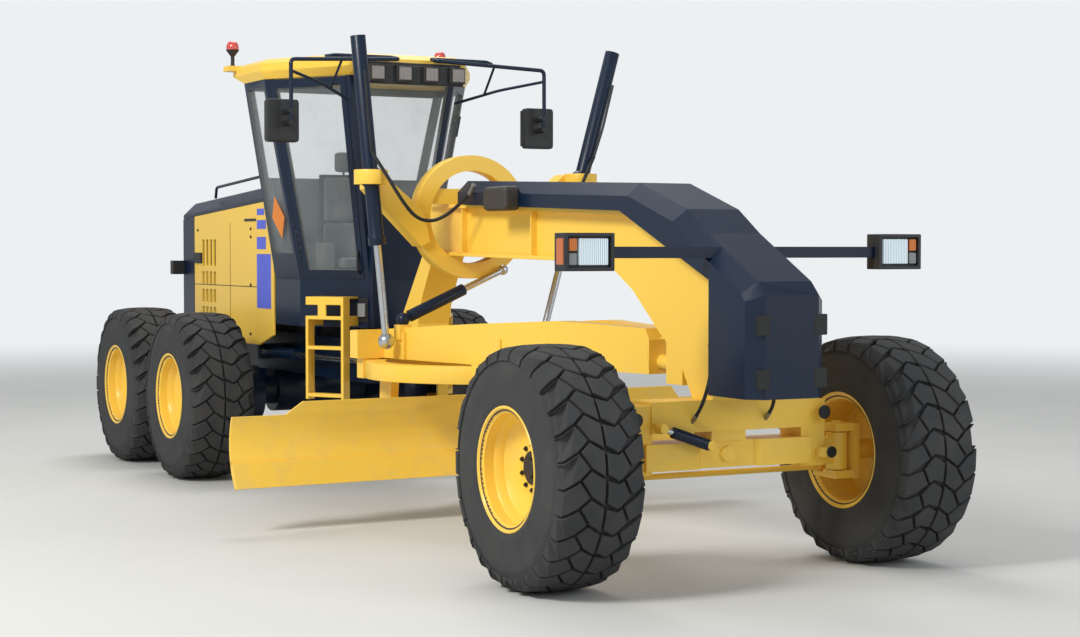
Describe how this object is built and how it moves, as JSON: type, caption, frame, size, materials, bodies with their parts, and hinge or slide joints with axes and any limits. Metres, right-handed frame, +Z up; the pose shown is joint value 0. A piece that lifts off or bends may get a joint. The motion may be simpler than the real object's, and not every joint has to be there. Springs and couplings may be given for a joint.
{
  "type": "motor grader",
  "caption": "Articulated road grader with a long blade under an arched beam, hinged frame, angular glazed cab and a rear engine hood.",
  "frame": {"origin": "on the ground under the middle of the machine's length, on its centre line", "axes": "+X to the machine's left, -Y forward, +Z up"},
  "size_m": [3.712, 8.86, 3.3707],
  "materials": {
    "black_metal": "satin black",
    "black_plastic": "matt",
    "casting": "rough casting",
    "glass": "clear, lightly tinted",
    "lamp": "gloss",
    "lens": "gloss",
    "mirror": "dark housing, mirror face behind",
    "navy_paint": "semi-gloss paint",
    "rod": "polished",
    "seat_fabric": "woven cloth",
    "tyre": "matt rubber",
    "yellow_paint": "semi-gloss paint"
  },
  "bodies": {
    "rear_frame": {"rear_frame": "navy_paint", "tandem_drive": "navy_paint", "engine_block": "casting", "articulation_barrel_left": "navy_paint", "articulation_barrel_right": "navy_paint", "hood": "navy_paint", "side_panels": "yellow_paint", "rear_grille": "navy_paint", "cab_shell": "navy_paint", "cab_glass": "glass", "cab_roof": "yellow_paint", "cab_cowl": "navy_paint", "beacons": "lens", "seat_base": "black_plastic", "seat_cushion": "seat_fabric", "seat_back": "seat_fabric", "controls": "black_plastic", "ladders": "yellow_paint", "mirror_arms": "black_metal", "mirrors": "mirror", "work_lamps": "lamp"},
    "front_frame": {"front_frame": "yellow_paint", "front_cover": "navy_paint", "headlamps": "lamp", "lift_saddle": "yellow_paint", "front_axle": "yellow_paint"},
    "tie_rod": {"tie_rod": "navy_paint"},
    "drawbar": {"drawbar": "yellow_paint"},
    "circle": {"circle": "yellow_paint"},
    "tilt_bracket": {"tilt_bracket": "yellow_paint", "side_shift_barrel": "navy_paint"},
    "moldboard": {"moldboard": "yellow_paint", "side_shift_rod": "rod"},
    "centre_shift_barrel": {"centre_shift_barrel": "navy_paint"},
    "centre_shift_rod": {"centre_shift_rod": "rod"},
    "knuckle_left": {"knuckle_left": "yellow_paint"},
    "lift_barrel_left": {"lift_barrel_left": "navy_paint"},
    "lift_rod_left": {"lift_rod_left": "rod"},
    "articulation_rod_left": {"articulation_rod_left": "rod"},
    "door_left": {"door_left": "navy_paint", "door_glass_left": "glass"},
    "wheel_front_left": {"tyre_front_left": "tyre", "rim_front_left": "yellow_paint"},
    "wheel_mid_left": {"tyre_mid_left": "tyre", "rim_mid_left": "yellow_paint"},
    "wheel_rear_left": {"tyre_rear_left": "tyre", "rim_rear_left": "yellow_paint"},
    "knuckle_right": {"knuckle_right": "yellow_paint"},
    "lift_barrel_right": {"lift_barrel_right": "navy_paint"},
    "lift_rod_right": {"lift_rod_right": "rod"},
    "articulation_rod_right": {"articulation_rod_right": "rod"},
    "door_right": {"door_right": "navy_paint", "door_glass_right": "glass"},
    "wheel_front_right": {"tyre_front_right": "tyre", "rim_front_right": "yellow_paint"},
    "wheel_mid_right": {"tyre_mid_right": "tyre", "rim_mid_right": "yellow_paint"},
    "wheel_rear_right": {"tyre_rear_right": "tyre", "rim_rear_right": "yellow_paint"}
  },
  "joints": [
    {"name": "articulation", "type": "hinge", "parent": "rear_frame", "child": "front_frame", "pos_m": [0, 0.33, 1.045], "axis": [0, 0, -1], "range_deg": [-25, 25]},
    {"name": "steer_left", "type": "hinge", "parent": "front_frame", "child": "knuckle_left", "pos_m": [0.8, -3.73, 0.645], "axis": [0, 0, 1], "range_deg": [-49, 49]},
    {"name": "steer_right", "type": "hinge", "parent": "front_frame", "child": "knuckle_right", "pos_m": [-0.8, -3.73, 0.645], "axis": [0, 0, 1], "range_deg": [-49, 49]},
    {"name": "spin_front_left", "type": "hinge", "parent": "knuckle_left", "child": "wheel_front_left", "pos_m": [1.06, -3.73, 0.645], "axis": [1, 0, 0], "continuous": true},
    {"name": "spin_front_right", "type": "hinge", "parent": "knuckle_right", "child": "wheel_front_right", "pos_m": [-1.06, -3.73, 0.645], "axis": [1, 0, 0], "continuous": true},
    {"name": "tie_rod_slide", "type": "slide", "parent": "front_frame", "child": "tie_rod", "axis": [1, 0, 0], "range_m": [-0.125, 0.125]},
    {"name": "spin_mid_left", "type": "hinge", "parent": "rear_frame", "child": "wheel_mid_left", "pos_m": [1.066, 2.025, 0.645], "axis": [1, 0, 0], "continuous": true},
    {"name": "spin_mid_right", "type": "hinge", "parent": "rear_frame", "child": "wheel_mid_right", "pos_m": [-1.066, 2.025, 0.645], "axis": [1, 0, 0], "continuous": true},
    {"name": "spin_rear_left", "type": "hinge", "parent": "rear_frame", "child": "wheel_rear_left", "pos_m": [1.066, 3.505, 0.645], "axis": [1, 0, 0], "continuous": true},
    {"name": "spin_rear_right", "type": "hinge", "parent": "rear_frame", "child": "wheel_rear_right", "pos_m": [-1.066, 3.505, 0.645], "axis": [1, 0, 0], "continuous": true},
    {"name": "lift", "type": "hinge", "parent": "front_frame", "child": "drawbar", "pos_m": [0, -3.4, 1.13], "axis": [0.9993, 0.038, 0], "range_deg": [-24, 4.2]},
    {"name": "circle_turn", "type": "hinge", "parent": "drawbar", "child": "circle", "pos_m": [-0.09205, -0.98175, 0.985], "axis": [0, 0, 1], "range_deg": [-60, 60]},
    {"name": "blade_tip", "type": "hinge", "parent": "circle", "child": "tilt_bracket", "pos_m": [-0.10061, -0.75691, 0.43], "axis": [0.9993, 0.038, 0], "range_deg": [-5, 40]},
    {"name": "blade_shift", "type": "slide", "parent": "tilt_bracket", "child": "moldboard", "axis": [0.9993, 0.038, 0], "range_m": [-0.91, 0.73]},
    {"name": "lift_swing_left", "type": "hinge", "parent": "front_frame", "child": "lift_barrel_left", "pos_m": [0.79, -0.765, 2.255], "axis": [-0.5917, -0.792, 0.1503], "range_deg": [-1.74, 9.71]},
    {"name": "lift_stroke_left", "type": "slide", "parent": "lift_barrel_left", "child": "lift_rod_left", "axis": [-0.263, 0.0134, -0.9647], "range_m": [-0.1862, 1.0618]},
    {"name": "lift_swing_right", "type": "hinge", "parent": "front_frame", "child": "lift_barrel_right", "pos_m": [-0.79, -0.765, 2.255], "axis": [-0.9027, 0.421, -0.089], "range_deg": [-0.99, 5.45]},
    {"name": "lift_stroke_right", "type": "slide", "parent": "lift_barrel_right", "child": "lift_rod_right", "axis": [0.0874, -0.023, -0.9959], "range_m": [-0.1906, 1.0866]},
    {"name": "centre_shift_swing", "type": "hinge", "parent": "drawbar", "child": "centre_shift_barrel", "pos_m": [-0.57, -0.78, 1.314], "axis": [0.2199, -0.8978, -0.3816], "range_deg": [-9.92, 56.45]},
    {"name": "centre_shift_stroke", "type": "slide", "parent": "centre_shift_barrel", "child": "centre_shift_rod", "axis": [0.9192, 0.0597, 0.3892], "range_m": [-0.0518, 0.2937]},
    {"name": "articulation_stroke_left", "type": "slide", "parent": "rear_frame", "child": "articulation_rod_left", "axis": [0.0777, 0.997, 0], "range_m": [-0.1279, 0.1279]},
    {"name": "articulation_stroke_right", "type": "slide", "parent": "rear_frame", "child": "articulation_rod_right", "axis": [-0.0777, 0.997, 0], "range_m": [-0.1279, 0.1279]},
    {"name": "door_left_hinge", "type": "hinge", "parent": "rear_frame", "child": "door_left", "pos_m": [0.51766, 1.15352, 1.55], "axis": [0.1885, -0.0165, 0.9819], "range_deg": [0, 90]},
    {"name": "door_right_hinge", "type": "hinge", "parent": "rear_frame", "child": "door_right", "pos_m": [-0.51766, 1.15352, 1.55], "axis": [0.1885, 0.0165, -0.9819], "range_deg": [0, 90]}
  ],
  "couplings": [
    {"joint": "steer_right", "follows": "steer_left", "ratio": 1},
    {"joint": "tie_rod_slide", "follows": "steer_left", "m_per_rad": -0.14561},
    {"joint": "lift_swing_left", "follows": "lift", "ratio": -0.40229},
    {"joint": "lift_stroke_left", "follows": "lift", "m_per_rad": -2.5336},
    {"joint": "lift_swing_right", "follows": "lift", "ratio": -0.22496},
    {"joint": "lift_stroke_right", "follows": "lift", "m_per_rad": -2.5928},
    {"joint": "centre_shift_swing", "follows": "lift", "ratio": -2.35},
    {"joint": "centre_shift_stroke", "follows": "lift", "m_per_rad": -0.7},
    {"joint": "articulation_stroke_left", "follows": "articulation", "m_per_rad": -0.2919},
    {"joint": "articulation_stroke_right", "follows": "articulation", "m_per_rad": 0.2919}
  ]
}
